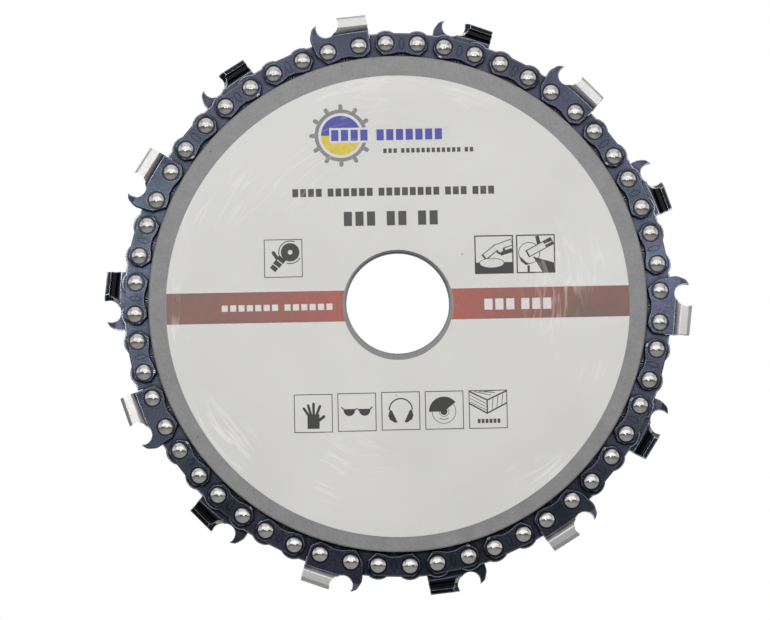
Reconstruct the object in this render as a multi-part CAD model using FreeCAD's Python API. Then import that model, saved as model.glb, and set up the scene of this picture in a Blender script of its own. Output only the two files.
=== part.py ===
"""Chain-type carving disc for an angle grinder.

Two steel plates and a thinner core disc make a wheel with a groove round its
rim. A closed loop of quarter-inch saw chain rides on the rim, its drive-link
tangs in the groove, and is free to slip round if a tooth jams.

Frame: millimetres, origin at the centre of the bore and at mid thickness.
The disc turns about Y. The labelled front face looks along -Y, and +Z is up.
Every chain link is drawn flat, with x along the link, y outwards from the disc
axis and z towards the front, and is then turned to its place round the rim.
"""
import FreeCAD, Part
import math
import os

from FreeCAD import Vector

# --- grinder interface and plates -------------------------------------------
bore_diameter = 22.23            # standard grinder spindle spigot
plate_thickness = 2.1            # front and rear plate, each
plate_edge_chamfer = 0.25
core_bore_relief = 0.35          # the core's bore stands back from the plates' bore

# --- chain loop ---------------------------------------------------------------
chain_pitch = 6.35               # mean distance between rivets
spacing_step = 0.49              # side links are longer, and drive links shorter, by this
link_pairs = 28                  # side-link stations round the loop
stations_per_cutter = 4          # front cutter, plain, rear cutter, plain
rest_angle = -0.8                # angle of the first front cutter, degrees above +X

# --- clearances ---------------------------------------------------------------
rim_clearance = 0.25             # strap feet above the rim
groove_side_clearance = 0.15     # drive link to each plate
tang_floor_clearance = 0.4       # tang tip to the core disc
rivet_clearance = 0.05           # rivet shoulder in the drive link
drive_link_gap = 0.74            # between neighbouring drive links
strap_gap = 1.5                  # between neighbouring plain straps
hook_gap = 0.8                   # between a cutter's hook end and its neighbour
heel_gap = 1.1                   # between a cutter's heel and its neighbour

# --- link plates ----------------------------------------------------------------
drive_gauge = 1.3                # drive link thickness
side_thickness = 1.25            # tie strap and cutter plate thickness
edge_round = 0.28                # rolled edge of the stamped side links
drive_edge_chamfer = 0.14        # broken edge of the drive links
strap_height = 2.35              # above the rivet line
foot_depth = 2.75                # below the rivet line
foot_inset = 0.48                # foot corner beyond the rivet
arch_half_width = 2.4            # arch between a side link's feet
arch_shoulder_depth = 2.5
arch_crown_depth = 1.98
drive_bridge_height = 2.5        # top of a drive link between its two rounds
drive_shoulder_gap = 0.15        # between neighbouring drive links just above the rim
tang_depth = 7.0                 # drive-link tang below the rivet line

# --- chain rivets ------------------------------------------------------------------
rivet_shoulder_radius = 1.3
rivet_hub_radius = 1.05
rivet_head_radius = 1.6
rivet_head_height = 0.65
rivet_seat_radius = 1.92         # shallow dished seat round each head
rivet_seat_depth = 0.12

# --- oval inspection mark on the plain straps ------------------------------------
mark_half_width = 0.6
mark_half_height = 1.3
mark_line = 0.16
mark_depth = 0.1

# --- cutter tooth and depth gauge --------------------------------------------------
kerf = 6.2                       # width over the two rows of teeth
tooth_height = 6.95              # leading corner above the rivet line
tooth_length = 6.65              # leading corner to the heel of the top plate
heel_overhang = 0.1              # top plate behind the side plate
tooth_drop = 0.62                # top plate falls to the heel by this
tooth_taper = 0.15               # and narrows by this
tooth_bend_height = 3.45         # the side plate starts to flare here
tooth_flare_height = 4.65        # and stands upright again here
top_plate_thickness = 1.05
top_plate_edge = 1.0             # free edge of the top plate, from mid thickness
tooth_corner_round = 0.75
bend_round = 0.5
file_radius = 2.0                # round file that shapes the cutting edge
file_height = 5.75
file_ahead = 1.86                # file centre ahead of the leading corner
top_plate_angle = 30.0           # degrees
hook_height = 6.25
hook_bend_height = 4.3
hook_bend_out = 0.35
gullet_radius = 2.1              # round cut between the hook and the tooth
gullet_floor = 3.2               # its lowest point above the rivet line
gullet_ahead = 2.3               # its centre ahead of the leading corner

# --- plate rivets ----------------------------------------------------------------------
plate_rivet_count = 6
plate_rivet_circle_radius = 42.0
plate_rivet_radius = 2.2
plate_rivet_head_radius = 3.4
plate_rivet_sink = 0.03          # heads lie this far under the plate faces

# --- label -------------------------------------------------------------------------------
label_margin = 3.75              # rim left bare round the label
label_thickness = 0.12
label_bore_margin = 0.8
label_drop = 0.6                 # the label is stuck on slightly low

# --- worked out --------------------------------------------------------------------------
strap_spacing = chain_pitch + spacing_step
drive_spacing = chain_pitch - spacing_step
station_angle = 360.0 / link_pairs
half_station = math.radians(station_angle / 2)
rivet_circle_radius = math.sqrt(
    strap_spacing ** 2 + drive_spacing ** 2
    + 2 * strap_spacing * drive_spacing * math.cos(half_station)
) / (2 * math.sin(half_station))
strap_chord = math.sqrt(rivet_circle_radius ** 2 - (strap_spacing / 2) ** 2)
drive_chord = math.sqrt(rivet_circle_radius ** 2 - (drive_spacing / 2) ** 2)

strap_reach = (drive_spacing - strap_gap) / 2
hook_reach = drive_spacing - strap_reach - hook_gap
heel_reach = drive_spacing - strap_reach - heel_gap
leading_corner = strap_spacing / 2 + heel_reach + heel_overhang - tooth_length
foot_half_width = strap_spacing / 2 + foot_inset
rim_radius = math.hypot(strap_chord - foot_depth, foot_half_width) - rim_clearance
core_thickness = drive_gauge + 2 * groove_side_clearance
core_radius = drive_chord - tang_depth - tang_floor_clearance
plate_inner_face = core_thickness / 2
plate_outer_face = plate_inner_face + plate_thickness
bore_radius = bore_diameter / 2
side_inner_face = drive_gauge / 2
side_outer_face = side_inner_face + side_thickness
overshoot = 1.0                  # cutting tools run this far past what they cut
same_place = 1e-6                # points closer than this are one


# --- drawing helpers ----------------------------------------------------------------------
def outline(corners, to_point):
    """Closed face from (u, v, radius) corners, each rounded by a tangent arc."""
    points = [Vector(u, v, 0) for u, v, _ in corners]
    starts = []
    ends = []
    middles = []
    for index, (_, _, radius) in enumerate(corners):
        here = points[index]
        back = (points[index - 1] - here).normalize()
        ahead = (points[(index + 1) % len(points)] - here).normalize()
        half_turn = back.getAngle(ahead) / 2
        reach = radius / math.tan(half_turn)
        starts.append(here + back * reach)
        ends.append(here + ahead * reach)
        bisector = (back + ahead).normalize() if radius else Vector(0, 0, 0)
        middles.append(here + bisector * (radius / math.sin(half_turn) - radius))
    edges = []
    for index, (_, _, radius) in enumerate(corners):
        if radius:
            arc = Part.Arc(to_point(starts[index]), to_point(middles[index]), to_point(ends[index]))
            edges.append(arc.toShape())
        following = (index + 1) % len(points)
        line = Part.LineSegment(to_point(ends[index]), to_point(starts[following]))
        edges.append(line.toShape())
    return Part.Face(Part.Wire(edges))


def plate_shape(corners, chord, low, high):
    """Flat link plate between two depths, its outline measured from the rivet line."""
    face = outline(corners, lambda p: Vector(p.x, p.y + chord, low))
    return face.extrude(Vector(0, 0, high - low))


def section_shape(corners, chord, start, sweep):
    """Bar with a (depth, height) section, swept along a link from x = start."""
    face = outline(corners, lambda p: Vector(start, p.y + chord, p.x))
    return face.extrude(sweep)


def pin_at(x, y, low, high, radius):
    return Part.makeCylinder(radius, high - low, Vector(x, y, low), Vector(0, 0, 1))


def face_edges(blank, depth):
    """Edges of the flat face that a link plate has at a depth."""
    return [edge for edge in blank.Edges
            if all(abs(vertex.Z - depth) < same_place for vertex in edge.Vertexes)]


def to_front(shape, angle):
    """Turn a link from its flat drawing to its place at an angle round the rim."""
    placed = shape.copy()
    placed.rotate(Vector(0, 0, 0), Vector(1, 0, 0), 90)
    placed.rotate(Vector(0, 0, 0), Vector(0, 1, 0), 90 - angle)
    return placed


def to_rear(shape, angle):
    """The same for the mirror-image link on the rear side of the chain."""
    return to_front(shape.mirror(Vector(0, 0, 0), Vector(0, 0, 1)), angle)


def turned_to_rear(shape, angle):
    """The same for a symmetric link, which is turned about its outward axis instead."""
    turned = shape.copy()
    turned.rotate(Vector(0, 0, 0), Vector(0, 1, 0), 180)
    return to_front(turned, angle)


def disc_between(front, rear, radius):
    """Cylinder on the disc axis between two distances in front of mid thickness."""
    return Part.makeCylinder(radius, front - rear, Vector(0, -front, 0), Vector(0, 1, 0))


# --- disc ---------------------------------------------------------------------------------
def plate_rivet():
    """Countersunk rivet through both plates, drawn along z."""
    face = plate_outer_face - plate_rivet_sink
    slope = plate_rivet_head_radius - plate_rivet_radius
    shank = pin_at(0, 0, -face, face, plate_rivet_radius)
    heads = [
        Part.makeCone(plate_rivet_head_radius, plate_rivet_radius, slope,
                      Vector(0, 0, side * face), Vector(0, 0, -side))
        for side in (-1, 1)
    ]
    return shank.fuse(heads).removeSplitter()


def plate_rivets():
    placed = []
    for index in range(plate_rivet_count):
        pin = plate_rivet()
        pin.translate(Vector(0, plate_rivet_circle_radius, 0))
        placed.append(to_front(pin, index * 360 / plate_rivet_count))
    return placed


def chamfered_plate(front, rear):
    """Bored disc with its outer rim and bore edges broken."""
    blank = disc_between(front, rear, rim_radius).cut(
        disc_between(front + overshoot, rear - overshoot, bore_radius))
    outer = front if front > 0 else rear
    outer_edges = [edge for edge in blank.Edges
                   if len(edge.Vertexes) == 1 and abs(edge.Vertexes[0].Y + outer) < same_place]
    return blank.makeChamfer(plate_edge_chamfer, outer_edges)


def front_plate(pins):
    return [chamfered_plate(plate_outer_face, plate_inner_face).cut(pins)]


def rear_plate(pins):
    return [chamfered_plate(-plate_inner_face, -plate_outer_face).cut(pins)]


def core_disc(pins):
    blank = disc_between(plate_inner_face, -plate_inner_face, core_radius)
    bore = disc_between(plate_inner_face + overshoot, -plate_inner_face - overshoot,
                        bore_radius + core_bore_relief)
    return [blank.cut(bore).cut(pins)]


def label():
    face = plate_outer_face
    paper = disc_between(face + label_thickness, face, rim_radius - label_margin)
    hole = disc_between(face + overshoot, face - overshoot, bore_radius + label_bore_margin)
    sheet = paper.cut(hole)
    sheet.translate(Vector(0, 0, -label_drop))
    return [sheet]


# --- chain links ----------------------------------------------------------------------------
def drive_link():
    half = drive_spacing / 2
    low = -drive_gauge / 2
    high = drive_gauge / 2
    round_radius = (strap_spacing - drive_link_gap) / 2
    shoulder = rim_radius * math.tan(half_station) - drive_shoulder_gap / 2
    body = plate_shape([
        (-half, drive_bridge_height, 0),
        (-half, 0, 0),
        (-shoulder - 0.25, -0.6, 0),
        (-shoulder, rim_radius - drive_chord - 0.4, 0.6),
        (-half, -tang_depth + 1.2, 1.2),
        (0.35 * half, -tang_depth, 0.9),
        (half, -tang_depth + 2.2, 1.4),
        (shoulder, rim_radius - drive_chord - 0.4, 0.6),
        (shoulder + 0.25, -0.6, 0),
        (half, 0, 0),
        (half, drive_bridge_height, 0),
    ], drive_chord, low, high)
    rounds = [pin_at(x, drive_chord, low, high, round_radius) for x in (-half, half)]
    blank = body.fuse(rounds).removeSplitter()
    broken = blank.makeChamfer(drive_edge_chamfer, face_edges(blank, low) + face_edges(blank, high))
    holes = [pin_at(x, drive_chord, low - overshoot, high + overshoot,
                    rivet_shoulder_radius + rivet_clearance) for x in (-half, half)]
    return broken.cut(holes)


def arch_corners():
    """Feet and arch along a side link's inner edge, from the -x foot to the +x foot."""
    return [
        (-foot_half_width, -foot_depth, 0.35),
        (-arch_half_width, -arch_shoulder_depth, 0.8),
        (-0.35 * arch_half_width, -arch_crown_depth, 1.2),
        (0.35 * arch_half_width, -arch_crown_depth, 1.2),
        (arch_half_width, -arch_shoulder_depth, 0.8),
        (foot_half_width, -foot_depth, 0.35),
    ]


def strap_blank():
    half = strap_spacing / 2
    end = half + strap_reach
    corners = arch_corners() + [
        (end, -1.1, 0.5),
        (end, 0.6, 0.4),
        (end - 0.4, 1.1, 0.4),
        (half + 1.0, strap_height, 0.8),
        (-half - 1.0, strap_height, 0.8),
        (-end + 0.4, 1.1, 0.4),
        (-end, 0.6, 0.4),
        (-end, -1.1, 0.5),
    ]
    return plate_shape(corners, strap_chord, side_inner_face, side_outer_face)


def rivet_seats(blank):
    """Bore a side link for its two rivets and dish a seat round each head."""
    for x in (-strap_spacing / 2, strap_spacing / 2):
        hole = pin_at(x, strap_chord, side_inner_face - overshoot,
                      side_outer_face + overshoot, rivet_hub_radius)
        seat = pin_at(x, strap_chord, side_outer_face - rivet_seat_depth,
                      side_outer_face + overshoot, rivet_seat_radius)
        blank = blank.cut([hole, seat])
    return blank


def oval_prism(half_width, half_height, low, high):
    ellipse = Part.Ellipse(Vector(0, 0, low), half_height, half_width)
    face = Part.Face(Part.Wire(ellipse.toShape()))
    face.rotate(Vector(0, 0, 0), Vector(0, 0, 1), 90)
    face.translate(Vector(0, strap_chord, 0))
    return face.extrude(Vector(0, 0, high - low))


def tie_strap():
    """Plain strap with rolled edges and a shallow oval mark."""
    blank = strap_blank()
    rolled = blank.makeFillet(edge_round, face_edges(blank, side_outer_face))
    floor = side_outer_face - mark_depth
    groove = oval_prism(mark_half_width, mark_half_height, floor, side_outer_face + overshoot).cut(
        oval_prism(mark_half_width - mark_line, mark_half_height - mark_line,
                   floor - overshoot, side_outer_face + 2 * overshoot))
    return rivet_seats(rolled).cut(groove)


def cutter_body():
    """Side plate of a cutter with its hook-shaped depth gauge, without the tooth."""
    half = strap_spacing / 2
    hook_end = half + hook_reach
    heel = half + heel_reach
    gullet_centre = leading_corner - gullet_ahead
    gullet_front = gullet_centre - gullet_radius
    corners = arch_corners() + [
        (heel - 0.25, -1.6, 1.0),
        (heel, 0.4, 1.5),
        (heel, tooth_bend_height - 0.3, 0),
        (leading_corner - 0.5, tooth_bend_height + 0.25, 0),
        (gullet_centre, tooth_bend_height + 0.25, 0),
        (gullet_centre, gullet_floor + gullet_radius, 0),
        (gullet_front, gullet_floor + gullet_radius, 0),
        (gullet_front + 0.15, hook_height, 0),
        (gullet_front - 1.0, hook_height - 0.65, 1.4),
        (-hook_end - 0.45, gullet_floor + 0.4, 2.4),
        (-hook_end + 0.2, -0.3, 1.5),
    ]
    depth = side_outer_face + kerf
    flat = plate_shape(corners, strap_chord, side_inner_face - overshoot, depth)
    bent = section_shape([
        (side_inner_face, -2 * foot_depth, 0),
        (side_outer_face, -2 * foot_depth, 0),
        (side_outer_face, hook_bend_height, bend_round),
        (side_outer_face + hook_bend_out, hook_height + overshoot, 0),
        (side_inner_face + hook_bend_out, hook_height + overshoot, 0),
        (side_inner_face, hook_bend_height, bend_round),
    ], strap_chord, -2 * hook_end, Vector(4 * hook_end, 0, 0))
    bent_plate = flat.common(bent)
    rolled_edges = [edge for edge in face_edges(bent_plate, side_outer_face)
                    if min(vertex.Y for vertex in edge.Vertexes) < strap_chord + gullet_floor
                    and max(vertex.Y for vertex in edge.Vertexes) < strap_chord + hook_bend_height]
    return bent_plate.makeFillet(edge_round, rolled_edges)


def cutter_tooth():
    """Flared side plate and top plate, with the cutting edge as a round file leaves it."""
    heel = leading_corner + tooth_length
    start = leading_corner - 1.35
    kerf_face = kerf / 2
    inner_wall = kerf_face - side_thickness
    underside = tooth_height - top_plate_thickness
    root = tooth_bend_height - 1.6
    run = heel - start
    slope = run / tooth_length
    rise = tooth_drop * (slope - 1)
    bar = section_shape([
        (side_inner_face, root, 0),
        (side_outer_face, root, 0),
        (side_outer_face, tooth_bend_height, bend_round),
        (kerf_face - 0.1, tooth_flare_height, bend_round),
        (kerf_face, tooth_height + rise, tooth_corner_round),
        (top_plate_edge, tooth_height + rise, 0.15),
        (top_plate_edge, underside + rise, 0.15),
        (inner_wall, underside + rise, 0.35),
        (inner_wall - 0.1, tooth_flare_height + 0.35, bend_round),
        (side_inner_face, tooth_bend_height + 0.35, bend_round),
    ], strap_chord, start, Vector(run, -tooth_drop * slope, -tooth_taper * slope))
    lean = math.radians(top_plate_angle)
    direction = Vector(-math.sin(lean), 0, math.cos(lean))
    centre = Vector(leading_corner - file_ahead, strap_chord + file_height, kerf_face)
    length = 4 * kerf
    file_cut = Part.makeCylinder(file_radius, length, centre - direction * (length / 2), direction)
    drive_link_room = Part.makeBox(2 * run, 2 * tooth_bend_height, kerf,
                                   Vector(start - run / 2, strap_chord - tooth_bend_height,
                                          side_inner_face - kerf))
    return bar.cut([file_cut, drive_link_room])


def cutter():
    gullet = pin_at(leading_corner - gullet_ahead, strap_chord + gullet_floor + gullet_radius,
                    -kerf, kerf, gullet_radius)
    joined = cutter_body().fuse(cutter_tooth()).cut(gullet).removeSplitter()
    return rivet_seats(joined)


def chain_rivet():
    """Shouldered rivet with a domed head on each side."""
    height = rivet_head_height
    dome_radius = (rivet_head_radius ** 2 + height ** 2) / (2 * height)
    shoulder = pin_at(0, 0, -side_inner_face, side_inner_face, rivet_shoulder_radius)
    seat = side_outer_face - rivet_seat_depth
    hub = pin_at(0, 0, -seat, seat, rivet_hub_radius)
    skirt = pin_at(0, 0, seat, side_outer_face, rivet_head_radius)
    ball = Part.makeSphere(dome_radius, Vector(0, 0, side_outer_face + height - dome_radius))
    cap = ball.common(pin_at(0, 0, side_outer_face, side_outer_face + 2 * height, 2 * rivet_head_radius))
    head = skirt.fuse(cap)
    other_head = head.mirror(Vector(0, 0, 0), Vector(0, 0, 1))
    return shoulder.fuse([hub, head, other_head]).removeSplitter()


# --- chain ----------------------------------------------------------------------------------
def station(index):
    return rest_angle + index * station_angle


def chain_nodes():
    """Every chain node by name, each a list of solids in place round the rim."""
    nodes = {}
    link = drive_link()
    tooth = cutter()
    plain = tie_strap()
    for index in range(link_pairs):
        nodes["drive_link_%02d" % (index + 1)] = [to_front(link, station(index + 0.5))]
    nodes["tie_straps_front"] = []
    nodes["tie_straps_rear"] = []
    nodes["cutter_straps_front"] = []
    nodes["cutter_straps_rear"] = []
    for index in range(link_pairs):
        angle = station(index)
        place = index % stations_per_cutter
        number = index // stations_per_cutter + 1
        if place == 0:
            nodes["cutter_front_%02d" % number] = [to_front(tooth, angle)]
            nodes["cutter_straps_rear"].append(turned_to_rear(plain, angle))
        elif place == stations_per_cutter // 2:
            nodes["cutter_rear_%02d" % number] = [to_rear(tooth, angle)]
            nodes["cutter_straps_front"].append(to_front(plain, angle))
        else:
            nodes["tie_straps_front"].append(to_front(plain, angle))
            nodes["tie_straps_rear"].append(turned_to_rear(plain, angle))
    nodes["chain_rivets"] = []
    half_strap_angle = math.degrees(math.asin(strap_spacing / 2 / rivet_circle_radius))
    pin = chain_rivet()
    pin.translate(Vector(0, rivet_circle_radius, 0))
    for index in range(link_pairs):
        for side in (-1, 1):
            nodes["chain_rivets"].append(to_front(pin, station(index) + side * half_strap_angle))
    return nodes


def main():
    os.makedirs("parts", exist_ok=True)
    pins = plate_rivets()
    nodes = {
        "front_plate": front_plate(pins),
        "rear_plate": rear_plate(pins),
        "core_disc": core_disc(pins),
        "plate_rivets": pins,
        "label": label(),
    }
    nodes.update(chain_nodes())
    for name, solids in nodes.items():
        shape = solids[0] if len(solids) == 1 else Part.makeCompound(solids)
        shape.exportStep("parts/%s.step" % name)
        print("%-22s %3d solid(s) %10.2f mm3" % (name, len(shape.Solids), shape.Volume))


main()
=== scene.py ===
import math
import random

import bmesh
import bpy
from mathutils import Matrix, Vector


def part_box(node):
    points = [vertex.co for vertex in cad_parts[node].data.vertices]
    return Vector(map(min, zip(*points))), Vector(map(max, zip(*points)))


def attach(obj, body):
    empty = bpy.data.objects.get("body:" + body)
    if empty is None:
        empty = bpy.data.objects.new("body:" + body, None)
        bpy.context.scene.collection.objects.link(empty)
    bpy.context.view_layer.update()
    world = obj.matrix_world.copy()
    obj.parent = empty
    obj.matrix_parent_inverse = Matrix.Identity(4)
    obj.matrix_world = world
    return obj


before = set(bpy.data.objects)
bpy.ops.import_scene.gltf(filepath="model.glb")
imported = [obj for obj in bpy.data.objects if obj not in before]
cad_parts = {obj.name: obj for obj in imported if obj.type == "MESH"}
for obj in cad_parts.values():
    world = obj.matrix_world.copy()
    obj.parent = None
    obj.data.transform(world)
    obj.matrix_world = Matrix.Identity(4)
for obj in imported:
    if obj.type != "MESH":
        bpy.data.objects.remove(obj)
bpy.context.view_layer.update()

# Sizes are in metres unless a name says otherwise, and the front of the disc faces -Y.
MM = 0.001

# Camera
CAMERA_DISTANCE = 0.8
CAMERA_AZIMUTH = math.radians(-0.6)
CAMERA_ELEVATION = math.radians(-6.0)
CAMERA_LENS = 173.2
CAMERA_SENSOR = 36.0
CAMERA_SHIFT = (-0.0166, -0.0085)

# Floor and room; a shade is (place on the ramp, grey)
FLOOR_HEIGHT = -0.13
FLOOR_SIDE = 6.0
FLOOR_SHADES = [(0.3, 0.86), (0.7, 0.90)]
FLOOR_MIRRORED = [(0.07, 0.50), (0.22, 0.28), (0.70, 0.13)]
ROOM_SHADES = [(0.45, 0.30), (0.49, 0.05), (0.54, 0.05), (0.60, 0.21), (0.70, 0.38), (0.95, 0.50)]
ROOM_SIDE_SHADE = (0.85, 0.85, 0.85)
ROOM_SIDE_REACH = [(0.70, 0.0), (0.88, 1.0)]

# Lights: sizes in metres and powers in watts
OVERHEAD_PLACE = (0.0, -0.55, 1.1)
OVERHEAD_SIZE = (1.6, 1.0)
OVERHEAD_POWER = 1.9
REAR_PLACE = (0.0, 0.9, 0.7)
REAR_SIZE = (1.4, 0.9)
REAR_POWER = 3.2
TUBE_COUNT = 9
TUBE_SPACING = 0.12
TUBE_DISTANCE = -0.42
TUBE_LEVEL = 0.21
TUBE_SIZE = (0.75 * TUBE_SPACING, 0.36)
TUBE_POWER = 0.14
SIDE_BOX_ACROSS = {"left": -0.097, "right": 0.097}
SIDE_BOX_LEVEL = 0.058
SIDE_BOX_SIZE = (0.05, 0.065)
SIDE_BOX_POWERS = {"left": 0.105, "right": 0.060}

# Chain
REST_ANGLE = math.radians(-0.8)
CUTTER_COUNT = 14
CUTTER_PITCH = 2.0 * math.pi / CUTTER_COUNT
LINK_COUNT = 2 * CUTTER_COUNT
LINK_PITCH = CUTTER_PITCH / 2.0
RIVET_CIRCLE = 56.63 * MM
RIVET_ALONG = 3.42 * MM
SEAT_EDGE = 2.05 * MM
MARK_EDGE = 1.05 * MM
PLATED_RADIUS = 59.9 * MM
PLATED_FADE = 0.9 * MM
TOOTH_SIDE_ANGLE = math.radians(0.9)

# Painted shade: dark beads in the slits between neighbouring drive links
GAP_SHADE_SIZE = (0.42 * MM, 0.9 * MM, 1.35 * MM)     # width, thickness and height of a bead
GAP_SHADE_LIFT = 0.06 * MM
GAP_SHADE_VARIATION = 0.12
GAP_SHADE_SEED = 7

# Label print, with its sizes and places in millimetres
PRINT_TURN = math.radians(1.15)
PRINT_THICKNESS = 0.014
PRINT_SINK = 0.006
PRINT_MARGIN = 0.02
SHAPE_STEP = 0.0004
CIRCLE_STEPS = 48
RING_STEPS = 180
LINE_OVERRUN = 0.6               # a line is longer than its run by this share of its width
FULL_TURN = 2.0 * math.pi
BAND_HEIGHT = 6.7
BAND_LOW = -0.65
BORDER_HEIGHT = 0.28
BADGE_PLACE = (-11.6, 36.4)
BADGE_RADIUS = 5.7
BADGE_TEETH = 12
BADGE_RING = 0.8
BADGE_TOOTH = (0.7, 0.9)
BADGE_DISC_RADIUS = 4.3
ICON_SIDE = 8.1
ICON_LINE = 0.17
ICON_BOLD_LINE = 0.27
ICON_PLACES = {
    "grinder": (-24.5, 9.9),
    "cut_flat": (20.9, 9.9),
    "cut_edge": (29.9, 9.9),
    "glove": (-18.6, -23.7),
    "glasses": (-9.25, -23.6),
    "muffs": (0.15, -23.5),
    "guard": (9.5, -23.5),
    "block": (18.9, -23.5),
}

# Wear and painted light and shade: shares from 0 to 1, unless a comment says otherwise
# how strongly rolled edges are painted pale, partly as wear and partly as painted highlight
EDGE_WEAR_AND_HIGHLIGHT_STRENGTH = 0.8
# how strongly the ring round each rivet head is darkened as painted shade
SEAT_SHADE_STRENGTH = 0.55
# how strongly closely overlooked corners are darkened as painted shade
CORNER_SHADE_STRENGTH = 0.9
# how strongly the bare inside of a tooth is darkened as painted shade
INSIDE_SHADE_STRENGTH = 0.92
OUTSIDE_SLACK = -0.05            # how far a face may lean inwards and still be plated
SPECK_STRENGTH = 0.6
# how strongly creases are painted pale as highlight, on paper and on ink
CREASE_HIGHLIGHT_STRENGTH = 0.6
INK_CREASE_HIGHLIGHT_STRENGTH = 0.45
INK_SHADE = 0.86
CREASES_ROUND = 1.7              # in a radian
CREASES_OUTWARDS = 330.0         # in a metre
PER_WORN_RADIUS = 1.0 / (50.0 * MM)

# Colours
PLATE_GREYS = [(0.32, (0.240, 0.240, 0.242)), (0.68, (0.350, 0.350, 0.352))]
PLATE_SPECK = (0.09, 0.09, 0.095)
CORE_GREYS = [(0.3, (0.34, 0.345, 0.35)), (0.7, (0.46, 0.465, 0.47))]
BLUED_TINTS = [
    (0.30, (0.026, 0.033, 0.045)),
    (0.42, (0.046, 0.059, 0.080)),
    (0.52, (0.062, 0.070, 0.101)),
    (0.60, (0.070, 0.071, 0.112)),
    (0.68, (0.076, 0.098, 0.136)),
]
# pale colour of rolled edges: partly wear, partly painted highlight
EDGE_WEAR_AND_HIGHLIGHT = (0.56, 0.61, 0.72)
# painted shade round the rivet heads
SEAT_SHADE = (0.008, 0.008, 0.011)
# painted shade in closely overlooked corners
CORNER_SHADE = (0.006, 0.006, 0.009)
# painted shade inside the cutters' teeth
INSIDE_SHADE = (0.006, 0.006, 0.006)
PLATING_GREYS = [(0.3, (0.53, 0.53, 0.52)), (0.7, (0.60, 0.60, 0.59))]
PLATING_ROUGHNESS = (0.30, 0.30, 0.30)
RIVET_GREYS = [(0.3, (0.50, 0.49, 0.475)), (0.7, (0.72, 0.71, 0.69))]
# dark beads in the chain's slits, as painted shade
GAP_SHADE_COLOURS = [(0.3, (0.007, 0.007, 0.008)), (0.7, (0.020, 0.018, 0.016))]
PAPER_GREYS = [(0.3, (0.665, 0.66, 0.635)), (0.7, (0.72, 0.715, 0.69))]
# painted highlight along the label's creases, on paper and on ink
PAPER_CREASE_HIGHLIGHT = (0.90, 0.89, 0.85)
PAPER_SPECK = (0.25, 0.24, 0.23)
INK_CREASE_HIGHLIGHT = (0.75, 0.66, 0.62)
MAROON = (0.43, 0.125, 0.100)
WORN_MAROON = (0.190, 0.120, 0.104)
PALE = (0.78, 0.74, 0.72)
PAPER = (0.72, 0.715, 0.69)
DARK = (0.045, 0.043, 0.042)
SOFT_DARK = (0.072, 0.070, 0.068)
BLUE = (0.075, 0.080, 0.40)
YELLOW = (0.72, 0.58, 0.06)
GREY = (0.24, 0.25, 0.25)

label_low, label_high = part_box("label")
label_centre = (label_low + label_high) / 2.0
label_radius = (label_high.x - label_low.x) / 2.0
label_face = label_low.y
label_bore = min(math.hypot(v.co.x, v.co.z - label_centre.z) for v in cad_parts["label"].data.vertices)


# ---------------------------------------------------------------- shader helpers

def add(tree, kind, settings=None, inputs=None):
    """A new node with its settings made and its inputs set or linked."""
    made = tree.nodes.new(kind)
    for name, value in (settings or {}).items():
        setattr(made, name, value)
    for name, value in (inputs or {}).items():
        if isinstance(value, bpy.types.NodeSocket):
            tree.links.new(value, made.inputs[name])
        else:
            made.inputs[name].default_value = value
    return made


def maths(tree, operation, first, second=0.0, clamp=False):
    made = add(tree, "ShaderNodeMath", {"operation": operation, "use_clamp": clamp}, {0: first, 1: second})
    return made.outputs["Value"]


def ramp(tree, factor, stops):
    """A colour ramp from a list of (place, grey or colour)."""
    made = add(tree, "ShaderNodeValToRGB", None, {"Fac": factor})
    elements = made.color_ramp.elements
    while len(elements) < len(stops):
        elements.new(0.5)
    for element, (place, value) in zip(elements, stops):
        element.position = place
        colour = value if isinstance(value, tuple) else (value, value, value)
        element.color = (*colour, 1.0)
    return made.outputs["Color"]


def mix(tree, factor, first, second, blend="MIX"):
    made = add(tree, "ShaderNodeMix", {"data_type": "RGBA", "blend_type": blend})
    for name, value in (("Factor", factor), ("A", first), ("B", second)):
        socket = [s for s in made.inputs if s.name == name and s.enabled][0]
        if isinstance(value, bpy.types.NodeSocket):
            tree.links.new(value, socket)
        elif isinstance(value, tuple):
            socket.default_value = (*value, 1.0)
        else:
            socket.default_value = value
    return [s for s in made.outputs if s.enabled][0]


def new_group(name, inputs, outputs):
    """An empty shader group, with (name, kind, value) inputs and (name, kind) outputs."""
    group = bpy.data.node_groups.new(name, "ShaderNodeTree")
    for label, kind, value in inputs:
        socket = group.interface.new_socket(label, in_out="INPUT", socket_type=kind)
        if value is not None:
            socket.default_value = value
    for label, kind in outputs:
        group.interface.new_socket(label, in_out="OUTPUT", socket_type=kind)
    return group, group.nodes.new("NodeGroupInput"), group.nodes.new("NodeGroupOutput")


def use_group(tree, group, inputs):
    return add(tree, "ShaderNodeGroup", {"node_tree": group}, inputs)


def new_material(name):
    material = bpy.data.materials.new(name)
    material.use_nodes = True
    tree = material.node_tree
    shader = tree.nodes["Principled BSDF"]
    coordinates = tree.nodes.new("ShaderNodeTexCoord")
    return material, tree, shader, coordinates


def make_object(mesh, name, material):
    """Turns a finished bmesh into an object of the scene."""
    data = bpy.data.meshes.new(name)
    mesh.to_mesh(data)
    mesh.free()
    data.materials.append(material)
    made = bpy.data.objects.new(name, data)
    bpy.context.scene.collection.objects.link(made)
    return made


def noise(tree, place, scale, detail=3.0, roughness=0.5, distortion=0.0):
    made = add(
        tree,
        "ShaderNodeTexNoise",
        None,
        {"Vector": place, "Scale": scale, "Detail": detail, "Roughness": roughness, "Distortion": distortion},
    )
    return made.outputs["Fac"]


def bump(tree, height, distance):
    made = add(tree, "ShaderNodeBump", None, {"Height": height, "Distance": distance, "Strength": 1.0})
    return made.outputs["Normal"]


# ---------------------------------------------------------------- shared effects

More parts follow.
